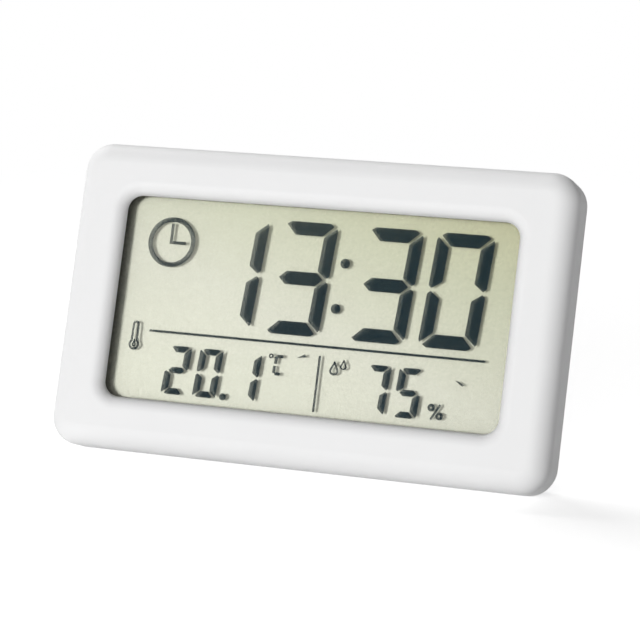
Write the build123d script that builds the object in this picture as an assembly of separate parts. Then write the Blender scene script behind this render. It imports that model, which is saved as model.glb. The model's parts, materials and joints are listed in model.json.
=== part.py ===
from build123d import *
import os
from math import cos, hypot, radians, sin

# A slim desk clock with a thermometer and a hygrometer, leaning back on its folding stand.
# Pieces are drawn in the upright frame of the case, in millimetres: X to the right, Y from the
# front face to the back, Z up, with the origin in the middle of the front face. At the end the
# whole clock is leaned back and set down on the plane Z = 0.

# The case
CASE_WIDTH = 100.0
CASE_HEIGHT = 60.0
CORNER_RADIUS = 5.5
FRONT_EDGE_RADIUS = 4.0
SHELL_WALL = 1.8
FRONT_WALL = 2.2
RIM_DEPTH = 9.8
RIM_EDGE_RADIUS = 0.6
LEAN = 21.7

# The display window in the front wall
SIDE_BEZEL = 10.45
END_BEZEL = 10.15
WINDOW_CORNER_RADIUS = 3.0
WINDOW_EDGE_RADIUS = 2.5

# The display, from front to back
GASKET_THICKNESS = 0.2
GASKET_SETBACK = 0.2
POLARISER_THICKNESS = 0.2
POLARISER_INSET = 0.5
GLASS_THICKNESS = 1.1
GLASS_SIDE_MARGIN = 2.35
CONTACT_LEDGE = 1.75
LIQUID_GAP = 0.1
EDGE_SEAL_WIDTH = 0.6
EDGE_SEAL_INSET = 0.2
EDGE_SEAL_SETBACK = 0.3
REFLECTOR_THICKNESS = 0.25
REFLECTOR_INSET = 0.2
GLASS_CLEARANCE = 0.25
LOCATING_RIB_LENGTH = 12.0
LOCATING_RIB_WIDTH = 1.2
LOCATING_RIB_SPREAD = 25.0
STRIP_HEIGHT = 3.4
STRIP_CLEARANCE = 0.2
STRIP_END_INSET = 4.0

# The circuit board and what is soldered to its back
BOARD_THICKNESS = 1.0
BOARD_CLEARANCE = 0.3
BOARD_BOSS_RADIUS = 2.0
BOARD_BOSS_UP = 12.0
BOARD_SCREW_RADIUS = 0.75
BOARD_SCREW_LENGTH = 4.0
BOARD_SCREW_HEAD_RADIUS = 1.5
BOARD_SCREW_HEAD_HEIGHT = 0.9
SCREW_HOLE_CLEARANCE = 0.15
THREAD_CLEARANCE = 0.02
SCREW_END_ROOM = 0.5
BOARD_PARTS_EDGE_GAP = 3.95
BOARD_PARTS_SPREAD = 18.6
DOME_RADIUS = 3.6
DOME_HEIGHT = 1.3
CRYSTAL_RADIUS = 1.0
CRYSTAL_LENGTH = 6.0
LEAD_RADIUS = 0.2
LEAD_SPACING = 0.7
CHIP_LENGTH = 1.6
CHIP_WIDTH = 0.8
CHIP_HEIGHT = 0.5
CHIP_PITCH = 1.8
CHIP_COUNT = 5
SENSOR_WIDTH = 7.0
SENSOR_HEIGHT = 9.0
SENSOR_THICKNESS = 1.8
SENSOR_EDGE_GAP = 2.65
SENSOR_SLOT_WIDTH = 0.7
SENSOR_SLOT_COUNT = 4
THERMISTOR_RADIUS = 1.1
THERMISTOR_LENGTH = 3.4
THERMISTOR_ROUND = 0.4

# The coin cell and its contacts
CELL_RADIUS = 10.0
CELL_THICKNESS = 3.2
CELL_CAP_RADIUS = 8.9
CELL_CAP_STEP = 0.3
CELL_EDGE_RADIUS = 0.4
CELL_CLEARANCE = 0.1
NEGATIVE_CONTACT_THICKNESS = 0.3
NEGATIVE_CONTACT_LENGTH = 12.0
NEGATIVE_CONTACT_WIDTH = 4.0
POSITIVE_CONTACT_THICKNESS = 0.25
POSITIVE_CONTACT_WIDTH = 4.0
POSITIVE_CONTACT_HEIGHT = 1.2
POSITIVE_CONTACT_FOOT = 2.2
CONTACT_TOUCH_GAP = 0.02

# The bayonet cover over the coin cell and its well in the rear cover
DISC_THICKNESS = 1.3
DISC_GAP = 0.2
DISC_PLAY = 0.05
DISC_EDGE_RADIUS = 0.4
DISC_OVERLAP = 1.1
SKIRT_WALL = 0.9
SKIRT_CELL_GAP = 0.3
LUG_REACH = 1.1
LUG_THICKNESS = 1.0
LUG_SPAN = 30.0
LUG_NOTCH_SPAN = 38.0
LUG_COUNT = 2
UNLOCK_TURN = 50.0
FLANGE_THICKNESS = 1.05
BAYONET_GAP = 0.2
BAYONET_PLAY = 0.1
SEAT_RING_GAP = 0.6
WELL_WALL = 1.6
WELL_BOARD_GAP = 0.4
COIN_SLOT_LENGTH = 15.0
COIN_SLOT_WIDTH = 2.0
COIN_SLOT_DEPTH = 0.7

# The rear cover
COVER_CLEARANCE = 0.15
COVER_WALL = 1.6
BACK_WALL = 1.6
COVER_EDGE_RADIUS = 1.5
COVER_LAP = 1.4
CASE_BOSS_RADIUS = 2.2
BOSS_RIB_WIDTH = 1.0
BOSS_RIB_SETBACK = 0.6
PILLAR_SEAT = 2.4
CASE_SCREW_RADIUS = 1.0
CASE_SCREW_LENGTH = 6.0
CASE_SCREW_HEAD_RADIUS = 1.8
CASE_SCREW_HEAD_HEIGHT = 1.3
SCREW_HEAD_GAP = 0.2
SCREW_HEAD_ROUND = 0.3
SCREW_TIP_CHAMFER = 0.4
CROSS_RECESS_WIDTH = 0.5
CROSS_RECESS_DEPTH = 0.6
KEYHOLE_FROM_TOP = 11.4
KEYHOLE_RADIUS = 3.5
KEYHOLE_SLOT_WIDTH = 3.6
KEYHOLE_SLOT_RISE = 4.6
VENT_LENGTH = 8.0
VENT_WIDTH = 1.2
VENT_PITCH = 2.6
VENT_COUNT = 5

# The setting buttons and the switches under them
BUTTON_LENGTH = 9.0
BUTTON_WIDTH = 5.0
BUTTON_PITCH = 11.0
BUTTON_MIDDLE_UP = 5.0
BUTTON_PROUD = 0.4
BUTTON_TRAVEL = 0.4
BUTTON_GAP = 0.2
BUTTON_EDGE_RADIUS = 0.35
BUTTON_FLANGE = 0.8
BUTTON_FLANGE_THICKNESS = 0.9
BUTTON_STEM_RADIUS = 1.4
BUTTON_PLAY = 0.05
SWITCH_SIDE = 5.0
SWITCH_HEIGHT = 1.5
SWITCH_EDGE_CHAMFER = 0.3
PLUNGER_RADIUS = 1.1
PLUNGER_LENGTH = 1.1
PLUNGER_GAP = 0.1

# The folding stand
STAND_WIDTH = 26.0
STAND_FOOT_WIDTH = 20.0
STAND_FOOT_CORNER = 4.0
STAND_THICKNESS = 2.0
STAND_OPEN = 35.0
STAND_SINK = 0.1
STAND_GAP = 0.25
STAND_RIB_HEIGHT = 0.9
STAND_RIB_WIDTH = 1.2
STAND_RIB_SPREAD = 6.0
STAND_RIB_SETBACK = 5.0
HINGE_FROM_TOP = 20.0
HINGE_SINK = 1.4
HEEL = 2.2
HEEL_ROUND = 0.4
PIN_RADIUS = 1.0
PIN_LENGTH = 2.0
PIN_CLEARANCE = 0.07
PIN_END_ROOM = 0.2
STOP_GAP = 0.02
SWING_ROOM = 0.3
POCKET_WALL = 1.2
CHEEK_WALL = 3.2
CHEEK_HEIGHT = 6.0

# How far a cut runs past the face that it opens
CUT_PAST = 1.0

# Depths worked out from the stack, counted from the front face
GLASS_FRONT = FRONT_WALL + GASKET_THICKNESS + POLARISER_THICKNESS
LIQUID_FRONT = GLASS_FRONT + GLASS_THICKNESS
REAR_GLASS_FRONT = LIQUID_FRONT + LIQUID_GAP
REFLECTOR_FRONT = REAR_GLASS_FRONT + GLASS_THICKNESS
BOARD_FRONT = LIQUID_FRONT + STRIP_HEIGHT
BOARD_BACK = BOARD_FRONT + BOARD_THICKNESS
CELL_FRONT = BOARD_BACK + NEGATIVE_CONTACT_THICKNESS
CELL_BACK = CELL_FRONT + CELL_THICKNESS
DISC_FRONT = CELL_BACK + CELL_CLEARANCE
CASE_DEPTH = DISC_FRONT + DISC_THICKNESS
COVER_FRONT = RIM_DEPTH - COVER_LAP
BACK_INSIDE = CASE_DEPTH - BACK_WALL
SCREW_SEAT = COVER_FRONT + PILLAR_SEAT

# Outlines worked out from the case
WINDOW_WIDTH = CASE_WIDTH - 2 * SIDE_BEZEL
WINDOW_HEIGHT = CASE_HEIGHT - 2 * END_BEZEL
GLASS_WIDTH = WINDOW_WIDTH + 2 * GLASS_SIDE_MARGIN
REAR_GLASS_HEIGHT = WINDOW_HEIGHT + 2 * (EDGE_SEAL_SETBACK + EDGE_SEAL_WIDTH + EDGE_SEAL_INSET)
GLASS_HEIGHT = REAR_GLASS_HEIGHT + 2 * CONTACT_LEDGE
COVER_INSET = SHELL_WALL + COVER_CLEARANCE
BOARD_INSET = COVER_INSET + COVER_WALL + BOARD_CLEARANCE

# Heights on the back, from the top edge of the case and from the edges of the board
HINGE_UP = CASE_HEIGHT / 2 - HINGE_FROM_TOP
KEYHOLE_UP = CASE_HEIGHT / 2 - KEYHOLE_FROM_TOP
BOARD_PARTS_UP = CASE_HEIGHT / 2 - BOARD_INSET - BOARD_PARTS_EDGE_GAP - DOME_RADIUS
VENT_UP = BOARD_INSET + SENSOR_EDGE_GAP + SENSOR_HEIGHT / 2 - CASE_HEIGHT / 2

# The corner bosses stand clear of the corners of the display glass
BOSS_OFFSET = (CASE_BOSS_RADIUS + GLASS_CLEARANCE) * cos(radians(45))
CASE_BOSS_X = GLASS_WIDTH / 2 + BOSS_OFFSET
CASE_BOSS_Z = GLASS_HEIGHT / 2 + BOSS_OFFSET
CASE_BOSSES = [(sx * CASE_BOSS_X, sz * CASE_BOSS_Z) for sx in (-1, 1) for sz in (-1, 1)]
BOARD_BOSS_X = GLASS_WIDTH / 2 + GLASS_CLEARANCE + BOARD_BOSS_RADIUS
BOARD_BOSSES = [(sx * BOARD_BOSS_X, sz * BOARD_BOSS_UP) for sx in (-1, 1) for sz in (-1, 1)]

# The stand's hinge line, its stop and the length that brings its foot to the table
HINGE_DEPTH = CASE_DEPTH - STAND_SINK - HINGE_SINK
STAND_INNER = STAND_THICKNESS - HINGE_SINK
FOOT_RADIUS = STAND_THICKNESS / 2
STOP_DEPTH = (
    (STAND_INNER - HEEL_ROUND) * cos(radians(STAND_OPEN))
    + (HEEL - HEEL_ROUND) * sin(radians(STAND_OPEN))
    + HEEL_ROUND
)
POCKET_FLOOR = HINGE_DEPTH - STOP_DEPTH - STOP_GAP
POCKET_HALF_WIDTH = STAND_WIDTH / 2 + STAND_GAP
POCKET_TOP = HINGE_UP + hypot(HEEL, HINGE_SINK) + SWING_ROOM
LOWEST_OF_CASE = (
    (RIM_EDGE_RADIUS - CASE_HEIGHT / 2) * cos(radians(LEAN))
    - (RIM_DEPTH - RIM_EDGE_RADIUS) * sin(radians(LEAN))
    - RIM_EDGE_RADIUS
)
HINGE_ABOVE_TABLE = HINGE_UP * cos(radians(LEAN)) - HINGE_DEPTH * sin(radians(LEAN)) - LOWEST_OF_CASE
FOOT_TILT = radians(STAND_OPEN - LEAN)
PLATE_OFFSET = HINGE_SINK - FOOT_RADIUS
STAND_LENGTH = (
    (HINGE_ABOVE_TABLE + PLATE_OFFSET * sin(FOOT_TILT) - FOOT_RADIUS) / cos(FOOT_TILT) + FOOT_RADIUS
)

# The coin cell and the buttons are centred between the stand's pocket and the side walls
SIDE_CENTRE = (POCKET_HALF_WIDTH + POCKET_WALL + CASE_WIDTH / 2 - COVER_INSET - COVER_WALL) / 2
CELL_X = SIDE_CENTRE
BUTTON_X = -SIDE_CENTRE
BUTTONS = [("up", BUTTON_PITCH), ("mode", 0.0), ("down", -BUTTON_PITCH)]

# The bayonet, from the coin cell outwards and from the disc forwards
SKIRT_INSIDE = CELL_RADIUS + SKIRT_CELL_GAP
SKIRT_OUTSIDE = SKIRT_INSIDE + SKIRT_WALL
FLANGE_RADIUS = SKIRT_OUTSIDE + BAYONET_GAP
LUG_RADIUS = SKIRT_OUTSIDE + LUG_REACH
GROOVE_RADIUS = LUG_RADIUS + BAYONET_GAP
DISC_RADIUS = LUG_RADIUS + DISC_OVERLAP
WELL_RADIUS = GROOVE_RADIUS + WELL_WALL
FLANGE_BACK = DISC_FRONT - DISC_PLAY
FLANGE_FRONT = FLANGE_BACK - FLANGE_THICKNESS
LUG_BACK = FLANGE_FRONT - BAYONET_PLAY
LUG_FRONT = LUG_BACK - LUG_THICKNESS
GROOVE_FRONT = LUG_FRONT - BAYONET_PLAY
WELL_FRONT = BOARD_BACK + WELL_BOARD_GAP

# The buttons and plungers, counted from the front face
FLANGE_OF_BUTTON_BACK = BACK_INSIDE - BUTTON_PLAY
FLANGE_OF_BUTTON_FRONT = FLANGE_OF_BUTTON_BACK - BUTTON_FLANGE_THICKNESS
SWITCH_BACK = BOARD_BACK + SWITCH_HEIGHT
PLUNGER_BACK = SWITCH_BACK + BUTTON_TRAVEL + PLUNGER_GAP
PLUNGER_FRONT = PLUNGER_BACK - PLUNGER_LENGTH
SWITCH_BORE_FRONT = PLUNGER_FRONT - BUTTON_TRAVEL - PLUNGER_GAP


def slab(profile, front, back):
    """Extrude a profile, drawn with x right and y up, from one depth to another."""
    return extrude(Plane.XZ.offset(-front) * profile, amount=back - front, dir=(0, 1, 0))


def peg(x, z, radius, front, back):
    """Round peg along the depth."""
    return slab(Pos(x, z) * Circle(radius), front, back)


def block(left, right, low, high, front, back):
    """Rectangular block between six limits."""
    middle = Pos((left + right) / 2, (low + high) / 2)
    return slab(middle * Rectangle(right - left, high - low), front, back)


def case_outline(inset):
    """The outline of the case, drawn in by an inset."""
    return RectangleRounded(CASE_WIDTH - 2 * inset, CASE_HEIGHT - 2 * inset, CORNER_RADIUS - inset)


def window_outline(inset):
    """The outline of the display window, drawn in by an inset."""
    return RectangleRounded(
        WINDOW_WIDTH - 2 * inset, WINDOW_HEIGHT - 2 * inset, WINDOW_CORNER_RADIUS - inset
    )


def sector(radius, middle, span):
    """A slice of a disc about its middle angle."""
    ends = [radians(middle - span / 2), radians(middle + span / 2)]
    far = [(2 * radius * cos(a), 2 * radius * sin(a)) for a in ends]
    return Circle(radius) & Polygon((0, 0), far[0], far[1])


def front_edges(body):
    """Edges of the face nearest to the front."""
    return body.faces().sort_by(Axis.Y)[0].edges()


def back_edges(body):
    """Edges of the face nearest to the back."""
    return body.faces().sort_by(Axis.Y)[-1].edges()


def front_shell():
    """Bezel and side walls in one moulding, with bosses for the board and the rear cover."""
    shell = slab(case_outline(0), 0, RIM_DEPTH)
    shell = fillet(front_edges(shell), FRONT_EDGE_RADIUS)
    shell = fillet(back_edges(shell), RIM_EDGE_RADIUS)
    shell -= slab(window_outline(0), -CUT_PAST, FRONT_WALL + CUT_PAST)
    window_rim = shell.faces().sort_by(Axis.Y)[0].inner_wires()[0].edges()
    shell = fillet(window_rim, WINDOW_EDGE_RADIUS)
    cavity = slab(case_outline(SHELL_WALL), FRONT_WALL, RIM_DEPTH + CUT_PAST)
    shell -= fillet(front_edges(cavity), FRONT_EDGE_RADIUS - SHELL_WALL)
    inner_x = CASE_WIDTH / 2 - SHELL_WALL
    inner_z = CASE_HEIGHT / 2 - SHELL_WALL
    half_rib = BOSS_RIB_WIDTH / 2
    for x, z in CASE_BOSSES:
        rib_back = COVER_FRONT - BOSS_RIB_SETBACK
        wall_x = inner_x if x > 0 else -inner_x
        wall_z = inner_z if z > 0 else -inner_z
        shell += peg(x, z, CASE_BOSS_RADIUS, FRONT_WALL, COVER_FRONT)
        shell += block(min(x, wall_x), max(x, wall_x), z - half_rib, z + half_rib, FRONT_WALL, rib_back)
        shell += block(x - half_rib, x + half_rib, min(z, wall_z), max(z, wall_z), FRONT_WALL, rib_back)
        screw_end = SCREW_SEAT - CASE_SCREW_LENGTH - SCREW_END_ROOM
        shell -= peg(x, z, CASE_SCREW_RADIUS + THREAD_CLEARANCE, screw_end, COVER_FRONT)
    for x, z in BOARD_BOSSES:
        wall_x = inner_x if x > 0 else -inner_x
        shell += peg(x, z, BOARD_BOSS_RADIUS, FRONT_WALL, BOARD_FRONT)
        shell += block(
            min(x, wall_x), max(x, wall_x), z - half_rib, z + half_rib, FRONT_WALL, BOARD_FRONT
        )
        screw_end = BOARD_BACK - BOARD_SCREW_LENGTH - SCREW_END_ROOM
        shell -= peg(x, z, BOARD_SCREW_RADIUS + THREAD_CLEARANCE, screw_end, BOARD_FRONT)
    rib_near = GLASS_HEIGHT / 2 + GLASS_CLEARANCE
    rib_far = rib_near + LOCATING_RIB_WIDTH
    for x in (-LOCATING_RIB_SPREAD, LOCATING_RIB_SPREAD):
        for low, high in ((rib_near, rib_far), (-rib_far, -rib_near)):
            left = x - LOCATING_RIB_LENGTH / 2
            shell += block(left, left + LOCATING_RIB_LENGTH, low, high, FRONT_WALL, LIQUID_FRONT)
    return shell


def display_gasket():
    """Thin foam frame between the bezel and the display, set back from the edge of the window."""
    frame = Rectangle(GLASS_WIDTH, GLASS_HEIGHT) - window_outline(-GASKET_SETBACK)
    return slab(frame, FRONT_WALL, FRONT_WALL + GASKET_THICKNESS)


def front_polariser():
    """Film on the front of the display glass."""
    inset = 2 * POLARISER_INSET
    film = Rectangle(GLASS_WIDTH - inset, GLASS_HEIGHT - inset)
    return slab(film, GLASS_FRONT - POLARISER_THICKNESS, GLASS_FRONT)


def lcd_front_glass():
    """Front plate, with a contact ledge above and below the rear plate."""
    return slab(Rectangle(GLASS_WIDTH, GLASS_HEIGHT), GLASS_FRONT, LIQUID_FRONT)


def lcd_edge_seal():
    """Thin frame that holds the two plates apart."""
    inset = 2 * EDGE_SEAL_INSET
    outer = Rectangle(GLASS_WIDTH - inset, REAR_GLASS_HEIGHT - inset)
    inset += 2 * EDGE_SEAL_WIDTH
    inner = Rectangle(GLASS_WIDTH - inset, REAR_GLASS_HEIGHT - inset)
    return slab(outer - inner, LIQUID_FRONT, REAR_GLASS_FRONT)


def lcd_rear_glass():
    """Rear plate, shorter than the front one by the two contact ledges."""
    return slab(Rectangle(GLASS_WIDTH, REAR_GLASS_HEIGHT), REAR_GLASS_FRONT, REFLECTOR_FRONT)


def reflector_film():
    """Rear polariser with the reflector that gives the display its pale ground."""
    inset = 2 * REFLECTOR_INSET
    film = Rectangle(GLASS_WIDTH - inset, REAR_GLASS_HEIGHT - inset)
    return slab(film, REFLECTOR_FRONT, REFLECTOR_FRONT + REFLECTOR_THICKNESS)


def connector_strip(side):
    """Conductive rubber strip between a contact ledge and the board."""
    middle = side * (REAR_GLASS_HEIGHT + CONTACT_LEDGE) / 2
    half_width = CONTACT_LEDGE / 2 - STRIP_CLEARANCE
    half_length = GLASS_WIDTH / 2 - STRIP_END_INSET
    return block(
        -half_length, half_length, middle - half_width, middle + half_width, LIQUID_FRONT, BOARD_FRONT
    )


def circuit_board():
    """Board with notched corners for the case bosses and a hole at each board boss."""
    half_width = CASE_WIDTH / 2 - BOARD_INSET
    half_height = CASE_HEIGHT / 2 - BOARD_INSET
    board = block(-half_width, half_width, -half_height, half_height, BOARD_FRONT, BOARD_BACK)
    reach = CASE_BOSS_RADIUS + GLASS_CLEARANCE
    for x, z in CASE_BOSSES:
        far_x = CASE_WIDTH / 2 if x > 0 else -CASE_WIDTH / 2
        far_z = CASE_HEIGHT / 2 if z > 0 else -CASE_HEIGHT / 2
        near_x = x - reach if x > 0 else x + reach
        near_z = z - reach if z > 0 else z + reach
        board -= block(
            min(near_x, far_x), max(near_x, far_x), min(near_z, far_z), max(near_z, far_z),
            BOARD_FRONT, BOARD_BACK,
        )
    for x, z in BOARD_BOSSES:
        board -= peg(x, z, BOARD_SCREW_RADIUS + SCREW_HOLE_CLEARANCE, BOARD_FRONT, BOARD_BACK)
    return board


def screw(x, z, seat, radius, length, head_radius, head_height):
    """Pan head screw whose head sits on a depth, with its shank towards the front."""
    head = peg(x, z, head_radius, seat, seat + head_height)
    head = fillet(back_edges(head), SCREW_HEAD_ROUND)
    for turn in (0, 90):
        cross = Pos(x, z) * Rot(0, 0, turn) * Rectangle(head_radius, CROSS_RECESS_WIDTH)
        head -= slab(cross, seat + head_height - CROSS_RECESS_DEPTH, seat + head_height)
    shank = peg(x, z, radius, seat - length, seat)
    shank = chamfer(front_edges(shank), SCREW_TIP_CHAMFER)
    return head + shank


def board_screws():
    """Screws that hold the board on its bosses."""
    return [
        screw(
            x, z, BOARD_BACK, BOARD_SCREW_RADIUS, BOARD_SCREW_LENGTH,
            BOARD_SCREW_HEAD_RADIUS, BOARD_SCREW_HEAD_HEIGHT,
        )
        for x, z in BOARD_BOSSES
    ]


def case_screws():
    """Screws that hold the rear cover, with their heads down in the pillars."""
    return [
        screw(
            x, z, SCREW_SEAT, CASE_SCREW_RADIUS, CASE_SCREW_LENGTH,
            CASE_SCREW_HEAD_RADIUS, CASE_SCREW_HEAD_HEIGHT,
        )
        for x, z in CASE_BOSSES
    ]


def rear_cover():
    """Back of the case: a tray with the stand's pocket, the cell's well and the pillars."""
    outer = slab(case_outline(COVER_INSET), COVER_FRONT, CASE_DEPTH)
    outer = fillet(back_edges(outer), COVER_EDGE_RADIUS)
    cover = outer - slab(case_outline(COVER_INSET + COVER_WALL), COVER_FRONT, BACK_INSIDE)
    for x, z in CASE_BOSSES:
        cover += peg(x, z, CASE_BOSS_RADIUS, COVER_FRONT, BACK_INSIDE)
    cover += outer & stand_pocket_walls()
    cover += peg(CELL_X, 0, WELL_RADIUS, WELL_FRONT, BACK_INSIDE)
    cover -= stand_pocket()
    cover -= bayonet_well()
    for x, z in CASE_BOSSES:
        cover -= peg(x, z, CASE_SCREW_RADIUS + SCREW_HOLE_CLEARANCE, COVER_FRONT, SCREW_SEAT)
        cover -= peg(x, z, CASE_SCREW_HEAD_RADIUS + SCREW_HEAD_GAP, SCREW_SEAT, CASE_DEPTH)
    for name, up in BUTTONS:
        hole = button_outline(BUTTON_GAP, up)
        cover -= slab(hole, BACK_INSIDE, CASE_DEPTH)
    for n in range(VENT_COUNT):
        x = BUTTON_X + (n - (VENT_COUNT - 1) / 2) * VENT_PITCH
        vent = Pos(x, VENT_UP) * Rot(0, 0, 90) * SlotOverall(VENT_LENGTH, VENT_WIDTH)
        cover -= slab(vent, BACK_INSIDE, CASE_DEPTH)
    return cover - slab(keyhole(), BACK_INSIDE, CASE_DEPTH)


def stand_pocket_walls():
    """Block around the pocket, thicker beside the hinge where the pins go in."""
    side = POCKET_HALF_WIDTH + POCKET_WALL
    front = POCKET_FLOOR - POCKET_WALL
    walls = block(-side, side, -CASE_HEIGHT / 2, POCKET_TOP + POCKET_WALL, front, CASE_DEPTH)
    cheek = POCKET_HALF_WIDTH + CHEEK_WALL
    low = HINGE_UP - CHEEK_HEIGHT / 2
    return walls + block(-cheek, cheek, low, low + CHEEK_HEIGHT, front, CASE_DEPTH)


def stand_pocket():
    """Recess that the stand folds into, open at the bottom edge, with its two pin holes."""
    side = POCKET_HALF_WIDTH
    pocket = block(-side, side, -CASE_HEIGHT / 2, POCKET_TOP, POCKET_FLOOR, CASE_DEPTH + CUT_PAST)
    reach = POCKET_HALF_WIDTH + PIN_LENGTH + PIN_END_ROOM - STAND_GAP
    hinge_line = Plane.YZ.offset(-reach) * Pos(HINGE_DEPTH, HINGE_UP)
    return pocket + extrude(hinge_line * Circle(PIN_RADIUS + PIN_CLEARANCE), amount=2 * reach)


def bayonet_well():
    """Room for the coin cell, the turning lugs and the disc of the battery cover."""
    well = peg(CELL_X, 0, CELL_RADIUS + SEAT_RING_GAP, WELL_FRONT, GROOVE_FRONT)
    well += peg(CELL_X, 0, GROOVE_RADIUS, GROOVE_FRONT, FLANGE_FRONT)
    well += peg(CELL_X, 0, FLANGE_RADIUS, FLANGE_FRONT, FLANGE_BACK)
    well += peg(CELL_X, 0, DISC_RADIUS + DISC_GAP, FLANGE_BACK, CASE_DEPTH + CUT_PAST)
    for n in range(LUG_COUNT):
        notch = sector(GROOVE_RADIUS, n * 360 / LUG_COUNT - UNLOCK_TURN, LUG_NOTCH_SPAN)
        well += slab(Pos(CELL_X, 0) * notch, FLANGE_FRONT, FLANGE_BACK)
    return well


def keyhole():
    """Hanging hole: a round entry with a slot above it."""
    entry = Pos(0, KEYHOLE_UP) * Circle(KEYHOLE_RADIUS)
    half_slot = KEYHOLE_SLOT_WIDTH / 2
    end = Pos(0, KEYHOLE_UP + KEYHOLE_SLOT_RISE) * Circle(half_slot)
    neck = Pos(0, KEYHOLE_UP + KEYHOLE_SLOT_RISE / 2) * Rectangle(KEYHOLE_SLOT_WIDTH, KEYHOLE_SLOT_RISE)
    return entry + end + neck


def battery_cover():
    """Bayonet disc with a coin slot, a skirt round the cell and two lugs under the flange."""
    disc = peg(CELL_X, 0, DISC_RADIUS, DISC_FRONT, CASE_DEPTH)
    disc = fillet(back_edges(disc), DISC_EDGE_RADIUS)
    slot = Pos(CELL_X, 0) * SlotOverall(COIN_SLOT_LENGTH, COIN_SLOT_WIDTH)
    disc -= slab(slot, CASE_DEPTH - COIN_SLOT_DEPTH, CASE_DEPTH)
    skirt = Circle(SKIRT_OUTSIDE) - Circle(SKIRT_INSIDE)
    disc += slab(Pos(CELL_X, 0) * skirt, LUG_FRONT, DISC_FRONT)
    for n in range(LUG_COUNT):
        lug = sector(LUG_RADIUS, n * 360 / LUG_COUNT, LUG_SPAN) - Circle(SKIRT_INSIDE)
        disc += slab(Pos(CELL_X, 0) * lug, LUG_FRONT, LUG_BACK)
    return disc


def coin_cell():
    """Cell with its smaller negative cap towards the board."""
    can = peg(CELL_X, 0, CELL_RADIUS, CELL_FRONT + CELL_CAP_STEP, CELL_BACK)
    can = fillet(front_edges(can) + back_edges(can), CELL_EDGE_RADIUS)
    return can + peg(CELL_X, 0, CELL_CAP_RADIUS, CELL_FRONT, CELL_FRONT + CELL_CAP_STEP)


def negative_contact():
    """Plated strip on the board under the middle of the cell."""
    strip = Pos(CELL_X, 0) * SlotOverall(NEGATIVE_CONTACT_LENGTH, NEGATIVE_CONTACT_WIDTH)
    return slab(strip, BOARD_BACK, CELL_FRONT)


def positive_contact():
    """Bent leaf that touches the side of the cell, with its foot on the board."""
    left = CELL_X - POSITIVE_CONTACT_WIDTH / 2
    right = CELL_X + POSITIVE_CONTACT_WIDTH / 2
    near = CELL_RADIUS + CONTACT_TOUCH_GAP
    thick = POSITIVE_CONTACT_THICKNESS
    leaf = block(left, right, near, near + thick, BOARD_BACK, BOARD_BACK + POSITIVE_CONTACT_HEIGHT)
    return leaf + block(left, right, near, near + POSITIVE_CONTACT_FOOT, BOARD_BACK, BOARD_BACK + thick)


def button_outline(grow, up):
    """Oval of a button, grown all round, at its height above the middle one."""
    oval = SlotOverall(BUTTON_LENGTH + 2 * grow, BUTTON_WIDTH + 2 * grow)
    return Pos(BUTTON_X, BUTTON_MIDDLE_UP + up) * oval


def button(up):
    """Key cap with a flange that keeps it in the cover and a stem down to its switch."""
    cap = slab(button_outline(0, up), FLANGE_OF_BUTTON_FRONT, CASE_DEPTH + BUTTON_PROUD)
    cap = fillet(back_edges(cap), BUTTON_EDGE_RADIUS)
    cap += slab(button_outline(BUTTON_FLANGE, up), FLANGE_OF_BUTTON_FRONT, FLANGE_OF_BUTTON_BACK)
    stem_up = BUTTON_MIDDLE_UP + up
    return cap + peg(BUTTON_X, stem_up, BUTTON_STEM_RADIUS, PLUNGER_BACK, FLANGE_OF_BUTTON_FRONT)


def switch_body(up):
    """Housing of a switch, with the bore that its plunger slides in."""
    middle = Pos(BUTTON_X, BUTTON_MIDDLE_UP + up)
    body = slab(middle * Rectangle(SWITCH_SIDE, SWITCH_SIDE), BOARD_BACK, SWITCH_BACK)
    body = chamfer(back_edges(body), SWITCH_EDGE_CHAMFER)
    bore_radius = PLUNGER_RADIUS + PLUNGER_GAP
    return body - peg(BUTTON_X, BUTTON_MIDDLE_UP + up, bore_radius, SWITCH_BORE_FRONT, SWITCH_BACK)


def plunger(up):
    """Plunger of a switch, which the button's stem pushes."""
    return peg(BUTTON_X, BUTTON_MIDDLE_UP + up, PLUNGER_RADIUS, PLUNGER_FRONT, PLUNGER_BACK)


def controller_dome():
    """Drop of resin over the controller chip."""
    drop_radius = (DOME_RADIUS**2 + DOME_HEIGHT**2) / (2 * DOME_HEIGHT)
    x = -BOARD_PARTS_SPREAD
    drop = Pos(x, BOARD_BACK + DOME_HEIGHT - drop_radius, BOARD_PARTS_UP) * Sphere(drop_radius)
    return drop & peg(x, BOARD_PARTS_UP, DOME_RADIUS, BOARD_BACK, BOARD_BACK + DOME_HEIGHT)


def timing_crystal():
    """Small metal can lying on the board, with its two leads."""
    x = BOARD_PARTS_SPREAD
    depth = BOARD_BACK + CRYSTAL_RADIUS
    can_line = Plane.YZ.offset(x) * Pos(depth, BOARD_PARTS_UP)
    can = extrude(can_line * Circle(CRYSTAL_RADIUS), amount=CRYSTAL_LENGTH)
    for side in (-1, 1):
        lead_up = BOARD_PARTS_UP + side * LEAD_SPACING / 2
        lead_line = Plane.YZ.offset(x - CRYSTAL_RADIUS) * Pos(depth, lead_up)
        can += extrude(lead_line * Circle(LEAD_RADIUS), amount=CRYSTAL_RADIUS)
    return can


def chip_components():
    """Row of small surface parts beside the controller."""
    first = -BOARD_PARTS_SPREAD + DOME_RADIUS + CHIP_PITCH
    row = []
    for n in range(CHIP_COUNT):
        left = first + n * CHIP_PITCH
        low = BOARD_PARTS_UP + DOME_RADIUS - CHIP_LENGTH
        back = BOARD_BACK + CHIP_HEIGHT
        row.append(block(left, left + CHIP_WIDTH, low, low + CHIP_LENGTH, BOARD_BACK, back))
    return row


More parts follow.
